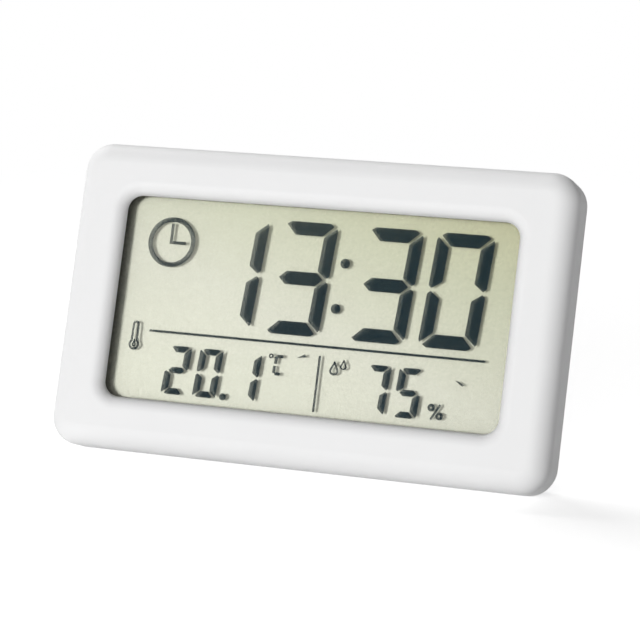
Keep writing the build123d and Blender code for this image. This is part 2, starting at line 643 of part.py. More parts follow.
def humidity_sensor():
    """Sensor housing behind the vents, with slots that let the air in."""
    x = BUTTON_X - VENT_PITCH
    left = x - SENSOR_WIDTH / 2
    low = VENT_UP - SENSOR_HEIGHT / 2
    back = BOARD_BACK + SENSOR_THICKNESS
    body = block(left, left + SENSOR_WIDTH, low, low + SENSOR_HEIGHT, BOARD_BACK, back)
    pitch = SENSOR_HEIGHT / (SENSOR_SLOT_COUNT + 1)
    for n in range(SENSOR_SLOT_COUNT):
        slot = Pos(x, low + (n + 1) * pitch) * SlotOverall(SENSOR_WIDTH - pitch, SENSOR_SLOT_WIDTH)
        body -= slab(slot, back - SENSOR_THICKNESS / 2, back)
    return body


def thermistor():
    """Glass bead on two leads, beside the humidity sensor."""
    x = BUTTON_X - VENT_PITCH + SENSOR_WIDTH / 2 + 2 * THERMISTOR_RADIUS
    depth = BOARD_BACK + THERMISTOR_RADIUS
    low = VENT_UP - THERMISTOR_LENGTH / 2
    bead_plane = Plane.XY.offset(low) * Pos(x, depth)
    bead = extrude(bead_plane * Circle(THERMISTOR_RADIUS), amount=THERMISTOR_LENGTH)
    bead = fillet(bead.edges().filter_by(GeomType.CIRCLE), THERMISTOR_ROUND)
    for side in (-1, 1):
        lead_plane = Plane.XY.offset(low - THERMISTOR_LENGTH) * Pos(x + side * LEAD_SPACING / 2, depth)
        bead += extrude(lead_plane * Circle(LEAD_RADIUS), amount=THERMISTOR_LENGTH + THERMISTOR_RADIUS)
    return bead


def folded_stand():
    """Stand drawn about its hinge line, hanging straight down as it does when folded."""
    middle_depth = HINGE_SINK - FOOT_RADIUS
    heel_profile = Pos(middle_depth, HEEL / 2) * Rectangle(STAND_THICKNESS, HEEL)
    heel = extrude(Plane.YZ.offset(-STAND_WIDTH / 2) * heel_profile, amount=STAND_WIDTH)
    heel = fillet(heel.faces().sort_by(Axis.Z)[-1].edges().filter_by(Axis.X), HEEL_ROUND)
    foot_up = FOOT_RADIUS - STAND_LENGTH
    plate_profile = Pos(middle_depth, foot_up / 2) * Rectangle(STAND_THICKNESS, -foot_up)
    plate_profile += Pos(middle_depth, foot_up) * Circle(FOOT_RADIUS)
    plate = extrude(Plane.YZ.offset(-STAND_WIDTH / 2) * plate_profile, amount=STAND_WIDTH)
    half = STAND_WIDTH / 2
    half_foot = STAND_FOOT_WIDTH / 2
    outline = Polygon((-half, 0), (-half_foot, -STAND_LENGTH), (half_foot, -STAND_LENGTH), (half, 0))
    outline = fillet(outline.vertices().group_by(Axis.Y)[0], STAND_FOOT_CORNER)
    plate &= slab(outline, -STAND_THICKNESS, STAND_THICKNESS)
    for x in (-STAND_RIB_SPREAD, STAND_RIB_SPREAD):
        left = x - STAND_RIB_WIDTH / 2
        plate += block(
            left, left + STAND_RIB_WIDTH, STAND_RIB_SETBACK - STAND_LENGTH, -STAND_RIB_SETBACK,
            -STAND_INNER - STAND_RIB_HEIGHT, -STAND_INNER,
        )
    pin_reach = STAND_WIDTH / 2 + PIN_LENGTH
    pins = extrude(Plane.YZ.offset(-pin_reach) * Circle(PIN_RADIUS), amount=2 * pin_reach)
    return heel + plate + pins


def open_stand():
    """Stand swung out to its stop."""
    return Pos(0, HINGE_DEPTH, HINGE_UP) * Rot(STAND_OPEN, 0, 0) * folded_stand()


def named_pieces():
    """Every node with its solids, in the upright frame of the case."""
    pieces = {
        "front_shell": [front_shell()],
        "rear_cover": [rear_cover()],
        "display_gasket": [display_gasket()],
        "front_polariser": [front_polariser()],
        "lcd_front_glass": [lcd_front_glass()],
        "lcd_edge_seal": [lcd_edge_seal()],
        "lcd_rear_glass": [lcd_rear_glass()],
        "reflector_film": [reflector_film()],
        "upper_connector_strip": [connector_strip(1)],
        "lower_connector_strip": [connector_strip(-1)],
        "circuit_board": [circuit_board()],
        "board_screws": board_screws(),
        "case_screws": case_screws(),
        "controller_dome": [controller_dome()],
        "timing_crystal": [timing_crystal()],
        "chip_components": chip_components(),
        "humidity_sensor": [humidity_sensor()],
        "thermistor": [thermistor()],
        "coin_cell": [coin_cell()],
        "negative_contact": [negative_contact()],
        "positive_contact": [positive_contact()],
        "battery_cover": [battery_cover()],
        "stand": [open_stand()],
        "switch_bodies": [switch_body(up) for name, up in BUTTONS],
    }
    for name, up in BUTTONS:
        pieces[name + "_button"] = [button(up)]
        pieces[name + "_plunger"] = [plunger(up)]
    return pieces


def point_text(place, point):
    """A point of the upright frame, given in the frame of the standing clock."""
    moved = (place * Pos(*point)).position
    return "%.4f %.4f %.4f" % (moved.X, moved.Y, moved.Z)


lean_back = Rot(-LEAN, 0, 0)
leaning = {name: [lean_back * solid for solid in solids] for name, solids in named_pieces().items()}
boxes = [solid.bounding_box() for solids in leaning.values() for solid in solids]
box = boxes[0]
for other in boxes[1:]:
    box = box.add(other)
stand_at = Pos(-(box.min.X + box.max.X) / 2, -(box.min.Y + box.max.Y) / 2, -box.min.Z)
place = stand_at * lean_back

os.makedirs("parts", exist_ok=True)
for name, solids in leaning.items():
    standing = [stand_at * solid for solid in solids]
    shape = standing[0] if len(standing) == 1 else Compound(children=standing)
    export_step(shape, "parts/" + name + ".step")

print("case depth", CASE_DEPTH, "stand length", STAND_LENGTH)
print("box", box.size)
print("face centre", point_text(place, (0, 0, 0)))
print("hinge line", point_text(place, (0, HINGE_DEPTH, HINGE_UP)))
print("cell axis at the back", point_text(place, (CELL_X, CASE_DEPTH, 0)))
print("keyhole at the back", point_text(place, (0, CASE_DEPTH, KEYHOLE_UP)))
bottom_middle = (FRONT_EDGE_RADIUS + RIM_DEPTH - RIM_EDGE_RADIUS) / 2
print("bottom face", point_text(place, (0, bottom_middle, -CASE_HEIGHT / 2)))
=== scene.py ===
# %% [markdown]
# This clock is a white moulded case with a liquid crystal display behind its window. The solids come
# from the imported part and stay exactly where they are. They could be built again here, but then two
# models would have to be kept alike, so this script only dresses them and adds the display's signs.

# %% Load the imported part
import json
import math

import bmesh
import bpy
from mathutils import Matrix, Vector


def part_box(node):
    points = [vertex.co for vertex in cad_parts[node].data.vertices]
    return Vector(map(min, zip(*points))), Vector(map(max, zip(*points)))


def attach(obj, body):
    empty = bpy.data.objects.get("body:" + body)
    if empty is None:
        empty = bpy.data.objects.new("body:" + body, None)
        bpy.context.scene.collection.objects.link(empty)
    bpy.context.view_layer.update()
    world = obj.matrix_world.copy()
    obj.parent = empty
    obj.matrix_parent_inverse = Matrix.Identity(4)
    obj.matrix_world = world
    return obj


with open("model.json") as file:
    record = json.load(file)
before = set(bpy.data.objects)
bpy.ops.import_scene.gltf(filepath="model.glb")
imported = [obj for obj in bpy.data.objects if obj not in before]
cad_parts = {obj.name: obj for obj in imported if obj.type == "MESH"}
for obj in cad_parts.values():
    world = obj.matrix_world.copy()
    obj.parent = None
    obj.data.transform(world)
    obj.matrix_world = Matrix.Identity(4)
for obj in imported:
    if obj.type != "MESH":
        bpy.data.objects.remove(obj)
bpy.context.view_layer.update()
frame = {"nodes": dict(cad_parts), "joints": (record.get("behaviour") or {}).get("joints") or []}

# %% [markdown]
# The clock leans back, while everything on its face is easier to draw upright. A single matrix takes
# care of that: it turns millimetres on the face (right, up, out of the face) into the leaning clock.
# The battery cover turns about the depth of the case, so its axis gives the lean without a guess, and
# the middle of the front glass gives the place.

# %% Find the face of the clock
MILLIMETRE = 0.001
GLASS_MIDDLE_DEPTH = 3.15

turn = next(joint for joint in frame["joints"] if joint["name"] == "battery_cover_turn")
to_back = Vector(turn["axis"]).normalized()
to_right = Vector((1, 0, 0))
to_up = to_right.cross(to_back)
to_front = -to_back
lean = math.asin(to_front.z)

glass_low, glass_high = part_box("lcd_front_glass")
face_middle = (glass_low + glass_high) / 2 + to_front * GLASS_MIDDLE_DEPTH * MILLIMETRE
face_turn = Matrix((to_right, to_up, to_front)).transposed().to_4x4()
on_face = Matrix.Translation(face_middle) @ face_turn @ Matrix.Scale(MILLIMETRE, 4)
print("lean", round(math.degrees(lean), 2), "face middle", [round(v, 5) for v in face_middle])

# %% [markdown]
# Every sign on the display is a patch of liquid crystal in the gap between the two glass plates. It
# could be painted on a plate, but then it would cast no shadow on the reflector behind it, and that
# pale double of each sign is what makes such a display look deep. So each sign is a thin closed
# prism: an outline on the face, its corners rounded a little, pushed back by its thickness.

# %% Helpers for thin signs
SIGN_DEPTH = 3.72
SIGN_THICKNESS = 0.04
CORNER_STEPS = 3


def add_outline(mesh, points, rounding=0.0):
    """A flat face with the given corners in millimetres on the display, rounded a little."""
    corners = [mesh.verts.new((x, y, 0)) for x, y in points]
    mesh.faces.new(corners)
    if rounding:
        bmesh.ops.bevel(
            mesh, geom=corners, offset=rounding, affect="VERTICES",
            segments=CORNER_STEPS, profile=0.5, material=-1,
        )


def add_bar(mesh, start, end, width, rounding=0.0):
    """A straight stroke between two points."""
    along = (Vector(end) - Vector(start)).normalized() * width / 2
    across = Vector((-along.y, along.x))
    first, last = Vector(start), Vector(end)
    add_outline(mesh, [first - across, last - across, last + across, first + across], rounding)


def add_disc(mesh, centre, radius, steps=32):
    """A round dot, returned as its face."""
    place = Matrix.Translation((centre[0], centre[1], 0))
    made = bmesh.ops.create_circle(mesh, cap_ends=True, radius=radius, segments=steps, matrix=place)
    return made["verts"][0].link_faces[0]


def hollow_out(mesh, face, stroke):
    """Keep only a band of the stroke's width along the edge of a face."""
    bmesh.ops.inset_region(mesh, faces=[face], thickness=stroke, use_boundary=True, use_even_offset=True)
    bmesh.ops.delete(mesh, geom=[face], context="FACES_ONLY")


# %% [markdown]
# The finished outlines become one piece for each group of signs. Extruding leaves some faces looking
# inwards, so the normals are worked out again while the mesh is still flat on the face, and only then
# is it moved to its place. The object itself stays at the origin, as the solids do.

# %% Turn outlines into a piece
signs = []


def make_sign(name, mesh):
    """Give flat outlines their thickness, put them in the display and let them ride on the case."""
    bmesh.ops.remove_doubles(mesh, verts=mesh.verts[:], dist=0.001)
    pushed = bmesh.ops.extrude_face_region(mesh, geom=mesh.faces[:])["geom"]
    back_corners = [part for part in pushed if isinstance(part, bmesh.types.BMVert)]
    bmesh.ops.translate(mesh, verts=back_corners, vec=(0, 0, -SIGN_THICKNESS))
    bmesh.ops.recalc_face_normals(mesh, faces=mesh.faces[:])
    open_edges = sum(1 for edge in mesh.edges if not edge.is_manifold)
    into_display = on_face @ Matrix.Translation((0, 0, -SIGN_DEPTH))
    bmesh.ops.transform(mesh, matrix=into_display, verts=mesh.verts[:])
    data = bpy.data.meshes.new(name)
    mesh.to_mesh(data)
    mesh.free()
    piece = bpy.data.objects.new(name, data)
    bpy.context.scene.collection.objects.link(piece)
    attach(piece, "case")
    signs.append(piece)
    print(name, "faces", len(data.polygons), "open edges", open_edges)


# %% [markdown]
# A number is built from seven bars. Level bars taper to a point at both ends, and upright bars have
# slanted ends that leave an even gap beside them. All seven follow from five sizes, so the large
# time and the small readings share one function. The numbers slant a little to the right.

# %% The seven bars of a number
SLANT = 0.071
LIT_BARS = {"0": "abcdef", "1": "bc", "2": "abdeg", "3": "abcdg", "5": "acdfg", "7": "abc"}
TIP_SHARE = 0.22
TOP_RUN = 1.5
END_RISE = 0.85
POINT_RUN = 0.55
SHOULDER_BACK = 0.2
FOOT_GAP = 0.8
FOOT_RISE = 0.54
FOOT_TIP = 0.25
FOOT_CORNER = 0.2
HEAD_CORNER = 0.1


def number_bars(width, height, bar, upright, gap):
    """Outlines of the seven bars about the middle of a number, named a to g as is usual."""
    side, top = width / 2, height / 2
    inner = side - upright
    tip = TIP_SHARE * bar
    near, far = inner - gap, inner - gap + bar - tip
    level = [
        (near, top - bar), (far, top - tip), (far - TOP_RUN * tip, top),
        (TOP_RUN * tip - far, top), (-far, top - tip), (-near, top - bar),
    ]
    shoulder = inner - SHOULDER_BACK * gap
    point = shoulder + POINT_RUN * bar
    middle = [
        (-point, 0), (-shoulder, -bar / 2), (shoulder, -bar / 2),
        (point, 0), (shoulder, bar / 2), (-shoulder, bar / 2),
    ]
    end = HEAD_CORNER * upright
    high = top - bar - END_RISE * gap
    low = FOOT_GAP * gap
    right = [
        (inner, low + FOOT_RISE * upright), (side - FOOT_TIP * upright, low),
        (side, low + FOOT_CORNER * upright),
        (side, high + END_RISE * (upright - end) - 2 * end),
        (side - end, high + END_RISE * (upright - end)), (inner, high),
    ]

    def flip(points, x_sign, y_sign):
        turned = [(x_sign * x, y_sign * y) for x, y in points]
        return turned if x_sign * y_sign > 0 else turned[::-1]

    return {
        "a": level, "d": flip(level, 1, -1), "g": middle,
        "b": right, "c": flip(right, 1, -1), "f": flip(right, -1, 1), "e": flip(right, -1, -1),
    }


def add_number(mesh, digit, middle, bars, rounding):
    """Add the lit bars of one digit, slanted, about its middle."""
    for name in LIT_BARS[digit]:
        points = [(middle[0] + x + SLANT * y, middle[1] + y) for x, y in bars[name]]
        add_outline(mesh, points, rounding)


# %% [markdown]
# The time takes up the upper two thirds of the display. Its four numbers stand at even steps, with a
# wider step across the colon, whose two dots follow the same slant.

# %% The time
TIME_MIDDLE_UP = 6.35
TIME_BARS = number_bars(width=11.3, height=22.0, bar=2.6, upright=2.55, gap=0.34)
TIME_STEP = 13.95
COLON_STEP = 17.05
FIRST_NUMBER_X = -16.68
TIME_ROUNDING = 0.14
COLON_RADIUS = 0.95
COLON_DOTS = [(5.8, 9.9), (5.0, 1.1)]

time_mesh = bmesh.new()
steps = [0, TIME_STEP, TIME_STEP + COLON_STEP, 2 * TIME_STEP + COLON_STEP]
for digit, step in zip("1330", steps):
    add_number(time_mesh, digit, (FIRST_NUMBER_X + step, TIME_MIDDLE_UP), TIME_BARS, TIME_ROUNDING)
make_sign("time_digits", time_mesh)

colon_mesh = bmesh.new()
for dot in COLON_DOTS:
    add_disc(colon_mesh, dot, COLON_RADIUS)
make_sign("colon_dots", colon_mesh)

# %% [markdown]
# The lower row shows the temperature and the humidity with the same seven bars at a smaller size. Two
# thin lines divide the display into its three fields.

# %% The readings and the dividing lines
READING_MIDDLE_UP = -13.55
READING_BARS = number_bars(width=4.85, height=9.45, bar=1.2, upright=1.42, gap=0.2)
READING_ROUNDING = 0.07
TEMPERATURE_PLACES = [("2", -25.68), ("0", -19.15), ("1", -11.2)]
HUMIDITY_PLACES = [("7", 14.75), ("5", 21.15)]
DECIMAL_POINT = (-15.55, -17.75)
DECIMAL_RADIUS = 0.68
LEVEL_LINE = ((-32.4, -6.3), (35.3, -6.3))
LEVEL_LINE_WIDTH = 0.44
UPRIGHT_LINE = ((3.05, -18.9), (3.05, -8.1))
UPRIGHT_LINE_WIDTH = 0.44


def make_reading(name, places, point=None):
    """One reading from its digits and their places along the row."""
    mesh = bmesh.new()
    for digit, x in places:
        add_number(mesh, digit, (x, READING_MIDDLE_UP), READING_BARS, READING_ROUNDING)
    if point:
        add_disc(mesh, point, DECIMAL_RADIUS)
    make_sign(name, mesh)


make_reading("temperature_digits", TEMPERATURE_PLACES, DECIMAL_POINT)
make_reading("humidity_digits", HUMIDITY_PLACES)

line_mesh = bmesh.new()
add_bar(line_mesh, *LEVEL_LINE, LEVEL_LINE_WIDTH)
add_bar(line_mesh, *UPRIGHT_LINE, UPRIGHT_LINE_WIDTH)
make_sign("dividing_lines", line_mesh)

# %% [markdown]
# The clock sign is a ring with two hands at three o'clock. A ring is a disc whose middle is inset and
# taken out, which keeps its band equally wide all round.

# %% The clock sign
CLOCK_MIDDLE = (-30.15, 11.37)
CLOCK_RADIUS = 4.93
CLOCK_STROKE = 0.9
CLOCK_STEPS = 72
HAND_WIDTH = 0.6
HAND_X = -30.28
HAND_UP = 11.3
MINUTE_TOP = 15.05
HOUR_END = -27.2

clock_mesh = bmesh.new()
hollow_out(clock_mesh, add_disc(clock_mesh, CLOCK_MIDDLE, CLOCK_RADIUS, CLOCK_STEPS), CLOCK_STROKE)
half_hand = HAND_WIDTH / 2
hands = [
    (HAND_X - half_hand, HAND_UP - half_hand), (HOUR_END, HAND_UP - half_hand),
    (HOUR_END, HAND_UP + half_hand), (HAND_X + half_hand, HAND_UP + half_hand),
    (HAND_X + half_hand, MINUTE_TOP), (HAND_X - half_hand, MINUTE_TOP),
]
add_outline(clock_mesh, hands)
make_sign("clock_sign", clock_mesh)

# %% [markdown]
# The thermometer sign is a bulb drawn out into a round-ended tube. It starts as a circle: the points
# at its top are lifted to the end of the tube, and the sides follow as straight lines. The drop in
# its bulb and the two water drops are circles too, with their upper half pulled to a point.

# %% The thermometer and the drops
TUBE_HALF_WIDTH = 0.72
TUBE_TOP = -4.6
BULB_MIDDLE = (-35.3, -9.25)
BULB_RADIUS = 1.1
THIN_STROKE = 0.43
BULB_STEPS = 64
DROP_STEPS = 48
TIP_NARROWING = 0.72
# Each drop has its middle, its radius, the height of its tip and its stroke
BULB_DROP = ((BULB_MIDDLE[0], -9.32), 0.42, -8.15, 0.24)
WATER_DROPS = [((6.15, -10.64), 0.93, -8.85, 0.37), ((7.95, -9.72), 0.68, -8.42, 0.31)]


def add_drop(mesh, middle, radius, tip_up, stroke):
    """A hollow drop: a circle whose upper half narrows to a tip at the given height."""
    face = add_disc(mesh, middle, radius, DROP_STEPS)
    for corner in face.verts:
        rise = (corner.co.y - middle[1]) / radius
        if rise > 0:
            corner.co.y = middle[1] + rise * (tip_up - middle[1])
            corner.co.x = middle[0] + (corner.co.x - middle[0]) * (1 - TIP_NARROWING * rise)
    hollow_out(mesh, face, stroke)


thermometer_mesh = bmesh.new()
bulb = add_disc(thermometer_mesh, BULB_MIDDLE, BULB_RADIUS, BULB_STEPS)
for corner in bulb.verts:
    sideways = corner.co.x - BULB_MIDDLE[0]
    if corner.co.y > BULB_MIDDLE[1] and abs(sideways) < TUBE_HALF_WIDTH:
        cap_rise = math.sqrt(TUBE_HALF_WIDTH**2 - sideways**2)
        corner.co.y = TUBE_TOP - TUBE_HALF_WIDTH + cap_rise
hollow_out(thermometer_mesh, bulb, THIN_STROKE)
add_drop(thermometer_mesh, *BULB_DROP)
make_sign("thermometer_sign", thermometer_mesh)

drops_mesh = bmesh.new()
for drop in WATER_DROPS:
    add_drop(drops_mesh, *drop)
make_sign("humidity_drops", drops_mesh)

# %% [markdown]
# The units are a small ring with a squared C, and a percent sign. Beside each reading, a short
# slanted mark belongs to an arrow that shows a rising or falling trend.

# %% The units and the trend marks
DEGREE_RING = (-6.7, -9.0)
DEGREE_RADIUS = 0.48
DEGREE_STROKE = 0.3
C_STROKE = 0.6
C_ROUNDING = 0.06
C_BARS = [
    ((-5.45, -8.95), (-4.25, -8.95)), ((-5.58, -9.05), (-5.68, -10.45)),
    ((-5.76, -10.85), (-5.86, -12.25)), ((-5.65, -12.35), (-4.55, -12.35)),
]
PERCENT_RINGS = [(26.0, -15.78), (27.72, -17.27)]
PERCENT_RADIUS = 0.72
PERCENT_STROKE = 0.5
PERCENT_SLASH = ((26.1, -18.0), (27.7, -15.1))
PERCENT_SLASH_WIDTH = 0.42
TREND_MARKS = [
    [(-1.55, -8.95), (-0.3, -8.7), (0.3, -8.6), (0.1, -8.1), (-0.35, -8.3)],
    [(29.95, -10.3), (30.8, -10.48), (31.75, -11.08), (31.48, -11.32), (31.0, -11.04)],
]

degree_mesh = bmesh.new()
hollow_out(degree_mesh, add_disc(degree_mesh, DEGREE_RING, DEGREE_RADIUS), DEGREE_STROKE)
for start, end in C_BARS:
    add_bar(degree_mesh, start, end, C_STROKE, C_ROUNDING)
make_sign("degree_sign", degree_mesh)

percent_mesh = bmesh.new()
for middle in PERCENT_RINGS:
    hollow_out(percent_mesh, add_disc(percent_mesh, middle, PERCENT_RADIUS), PERCENT_STROKE)
add_bar(percent_mesh, *PERCENT_SLASH, PERCENT_SLASH_WIDTH)
make_sign("percent_sign", percent_mesh)

trend_mesh = bmesh.new()
for mark in TREND_MARKS:
    add_outline(trend_mesh, mark)
make_sign("trend_marks", trend_mesh)

# %% [markdown]
# The finishes are node trees. Setting up every node by hand takes many lines that look alike, so three
# helpers do it: one puts a node in a tree, one stretches a value to the range that is wanted, and one
# starts a group with its sockets.

# %% Helpers for node trees
def add_node(tree, kind, x, y, **values):
    """Put a node in a tree and set the inputs that are given by name."""
    node = tree.nodes.new(kind)
    node.location = (x, y)
    for name, value in values.items():
        node.inputs[name.replace("_", " ")].default_value = value
    return node


def add_map(tree, source, low, high, x, y, ends=(0.3, 0.7)):
    """Stretch a value, by default a noise, so that it runs from low to high."""
    node = add_node(tree, "ShaderNodeMapRange", x, y)
    node.inputs["From Min"].default_value, node.inputs["From Max"].default_value = ends
    for name, value in (("To Min", low), ("To Max", high)):
        if isinstance(value, (int, float)):
            node.inputs[name].default_value = value
        else:
            tree.links.new(value, node.inputs[name])
    tree.links.new(source, node.inputs["Value"])
    return node.outputs["Result"]


def new_group(name, inputs, outputs):
    """An empty shader node group with named sockets."""
    tree = bpy.data.node_groups.new(name, "ShaderNodeTree")
    for label, kind, value in inputs:
        socket = tree.interface.new_socket(label, in_out="INPUT", socket_type=kind)
        socket.default_value = value
    for label, kind in outputs:
        tree.interface.new_socket(label, in_out="OUTPUT", socket_type=kind)
    return tree, tree.nodes.new("NodeGroupInput"), tree.nodes.new("NodeGroupOutput")


# %% [markdown]
# Moulded plastic is never one flat colour: the mould's fine texture breaks up the gloss, and the
# colour drifts a little over a few centimetres. Many pieces here need that, each with its own grain,
# so it is a node group that gives a colour, a roughness and a height. Its noise reads the piece's own
# coordinates, which are metres, so a scale of 4000 is a grain of a quarter of a millimetre.

# %% A node group for moulded surfaces
COLOUR, NUMBER = "NodeSocketColor", "NodeSocketFloat"
moulded, moulded_in, moulded_out = new_group(
    "moulded_surface",
    [
        ("Colour", COLOUR, (0.8, 0.8, 0.8, 1)), ("Drift", NUMBER, 0.97), ("Grain Scale", NUMBER, 4000),
        ("Smoothest", NUMBER, 0.35), ("Roughest", NUMBER, 0.5), ("Speckle", NUMBER, 1.0),
    ],
    [("Colour", COLOUR), ("Roughness", NUMBER), ("Height", NUMBER)],
)
place = add_node(moulded, "ShaderNodeTexCoord", -800, 0)
cloud = add_node(moulded, "ShaderNodeTexNoise", -600, 200, Scale=45, Detail=3)
grain = add_node(moulded, "ShaderNodeTexNoise", -600, -100, Detail=4, Roughness=0.6)
tone = add_map(moulded, cloud.outputs["Fac"], moulded_in.outputs["Drift"], 1.0, -350, 200)
smoothest, roughest = moulded_in.outputs["Smoothest"], moulded_in.outputs["Roughest"]
gloss = add_map(moulded, grain.outputs["Fac"], smoothest, roughest, -350, -100)
speckle = add_map(moulded, grain.outputs["Fac"], moulded_in.outputs["Speckle"], 1.0, -350, 400)
both = add_node(moulded, "ShaderNodeMath", -250, 300)
both.operation = "MULTIPLY"
toned = add_node(moulded, "ShaderNodeVectorMath", -150, 200)
toned.operation = "SCALE"
for source, target in [
    (place.outputs["Object"], cloud.inputs["Vector"]),
    (place.outputs["Object"], grain.inputs["Vector"]),
    (moulded_in.outputs["Grain Scale"], grain.inputs["Scale"]),
    (moulded_in.outputs["Colour"], toned.inputs[0]),
    (tone, both.inputs[0]),
    (speckle, both.inputs[1]),
    (both.outputs["Value"], toned.inputs["Scale"]),
    (toned.outputs["Vector"], moulded_out.inputs["Colour"]),
    (gloss, moulded_out.inputs["Roughness"]),
    (grain.outputs["Fac"], moulded_out.inputs["Height"]),
]:
    moulded.links.new(source, target)
print("group", moulded.name, "nodes", len(moulded.nodes))

# %% [markdown]
# With the group in place, a plastic finish is a short call: a colour, a grain and a gloss. The grain
# also feeds a bump, very shallow, because a spark-eroded mould is only a few hundredths of a
# millimetre deep. The white of the case is a satin, nearly neutral plastic.

# %% Plastic finishes
def new_material(name):
    """A material with only its Principled shader and its output."""
    material = bpy.data.materials.new(name)
    material.use_nodes = True
    return material, material.node_tree, material.node_tree.nodes["Principled BSDF"]


def add_bump(tree, shader, height, distance, strength=0.3):
    """Feed a height into the shader's normal."""
    bump = add_node(tree, "ShaderNodeBump", -250, -350, Distance=distance, Strength=strength)
    tree.links.new(height, bump.inputs["Height"])
    tree.links.new(bump.outputs["Normal"], shader.inputs["Normal"])


def add_surface(tree, colour, gloss, grain_scale, drift):
    """The moulded surface with its own values; the colour is three numbers or another node's output."""
    surface = add_node(tree, "ShaderNodeGroup", -500, 0)
    surface.node_tree = moulded
    surface.inputs["Drift"].default_value = drift
    surface.inputs["Grain Scale"].default_value = grain_scale
    surface.inputs["Smoothest"].default_value, surface.inputs["Roughest"].default_value = gloss
    if isinstance(colour, tuple):
        surface.inputs["Colour"].default_value = (*colour, 1)
    else:
        tree.links.new(colour, surface.inputs["Colour"])
    return surface


def finish_surface(tree, shader, surface, grain_depth):
    """Lead the surface's colour, gloss and grain into the shader."""
    tree.links.new(surface.outputs["Colour"], shader.inputs["Base Color"])
    tree.links.new(surface.outputs["Roughness"], shader.inputs["Roughness"])
    add_bump(tree, shader, surface.outputs["Height"], grain_depth)


def plastic(name, colour, gloss, grain_scale=4000, drift=0.97, grain_depth=0.00002, metallic=0.0):
    """A moulded finish: a colour, its smoothest and roughest gloss, and its grain."""
    material, tree, shader = new_material(name)
    shader.inputs["Metallic"].default_value = metallic
    surface = add_surface(tree, colour, gloss, grain_scale, drift)
    finish_surface(tree, shader, surface, grain_depth)
    return material


case_white = plastic("case_white", (0.87, 0.87, 0.872), (0.52, 0.62), drift=0.985)
key_grey = plastic("key_grey", (0.66, 0.66, 0.67), (0.45, 0.6), grain_scale=5000)
switch_black = plastic("switch_black", (0.03, 0.03, 0.033), (0.5, 0.65))
sensor_white = plastic("sensor_white", (0.74, 0.74, 0.7), (0.55, 0.7))
foam_black = plastic(
    "foam_black", (0.012, 0.012, 0.013), (0.85, 0.98), grain_scale=9000, drift=0.6, grain_depth=0.00008
)
resin_black = plastic("resin_black", (0.014, 0.014, 0.015), (0.12, 0.25), grain_scale=900)
bead_black = plastic("bead_black", (0.02, 0.02, 0.02), (0.15, 0.3), grain_scale=1500)
ceramic_brown = plastic("ceramic_brown", (0.3, 0.2, 0.13), (0.4, 0.55), grain_scale=6000, drift=0.85)
seal_resin = plastic("seal_resin", (0.6, 0.6, 0.52), (0.4, 0.6), grain_scale=3000, drift=0.9)
METAL = {"grain_scale": 2500, "grain_depth": 0.000004, "metallic": 1.0}
plated_steel = plastic("plated_steel", (0.62, 0.62, 0.63), (0.2, 0.38), drift=0.9, **METAL)
contact_plating = plastic("contact_plating", (0.72, 0.58, 0.32), (0.22, 0.4), drift=0.88, **METAL)
print("plastic and metal finishes", len(bpy.data.materials))

# %% [markdown]
# The display is a stack of clear layers over a reflector. Refracting glass would be the obvious choice,
# but the light that reaches the reflector through it is slow to find and comes out noisy. Plain alpha
# does the same here, since the layers are flat and thin: light and sight pass straight through, and
# every layer takes a small share. A lit sign lets about a fifth through, so it is nearly black where
# sight and light both cross it, and paler where only one does. Contrast depends on the angle in such
# a display, so the signs are weaker at the upper left.

# %% Clear layers and lit signs
# The share that each face of a sign takes, and how it grows to the right and downwards
SIGN_SHARES = (0.49, 0.61)
SHARE_SLOPE = (3.6, 0, -6.0)
SHARE_ENDS = (-0.13, 0.01)
LAYER_DRIFT = 0.9
LAYER_GRAIN_DEPTH = 0.000002


def clear_layer(name, colour, alpha, gloss, grain_scale, specular):
    """A thin see-through finish with a fine grain in its gloss."""
    material = plastic(name, colour, gloss, grain_scale, LAYER_DRIFT, LAYER_GRAIN_DEPTH)
    shader = material.node_tree.nodes["Principled BSDF"]
    shader.inputs["Alpha"].default_value = alpha
    shader.inputs["Specular IOR Level"].default_value = specular
    return material


def add_face_place(tree):
    """The surface's own place in metres on the clock's face: right, back and up from its middle."""
    own_place = add_node(tree, "ShaderNodeTexCoord", -1500, 0)
    upright = add_node(tree, "ShaderNodeMapping", -1300, 0, Location=face_middle, Rotation=(-lean, 0, 0))
    upright.vector_type = "TEXTURE"
    tree.links.new(own_place.outputs["Object"], upright.inputs["Vector"])
    return upright.outputs["Vector"]


polariser_film = clear_layer(
    "polariser_film", (0.16, 0.17, 0.14), alpha=0.008, gloss=(0.4, 0.6), grain_scale=12000, specular=0.3
)
display_glass = clear_layer(
    "display_glass", (0.1, 0.13, 0.11), alpha=0.004, gloss=(0.05, 0.12), grain_scale=300, specular=0.3
)
liquid_crystal = clear_layer(
    "liquid_crystal", (0.003, 0.025, 0.04), SIGN_SHARES[1], gloss=(0.5, 0.7), grain_scale=9000, specular=0.0
)
tree = liquid_crystal.node_tree
growth = add_node(tree, "ShaderNodeVectorMath", -900, 400)
growth.operation = "DOT_PRODUCT"
growth.inputs[1].default_value = SHARE_SLOPE
tree.links.new(add_face_place(tree), growth.inputs[0])
share_taken = add_map(tree, growth.outputs["Value"], *SIGN_SHARES, -700, 400, SHARE_ENDS)
tree.links.new(share_taken, tree.nodes["Principled BSDF"].inputs["Alpha"])
print("lit signs let through", [round((1 - share) ** 2, 2) for share in SIGN_SHARES])
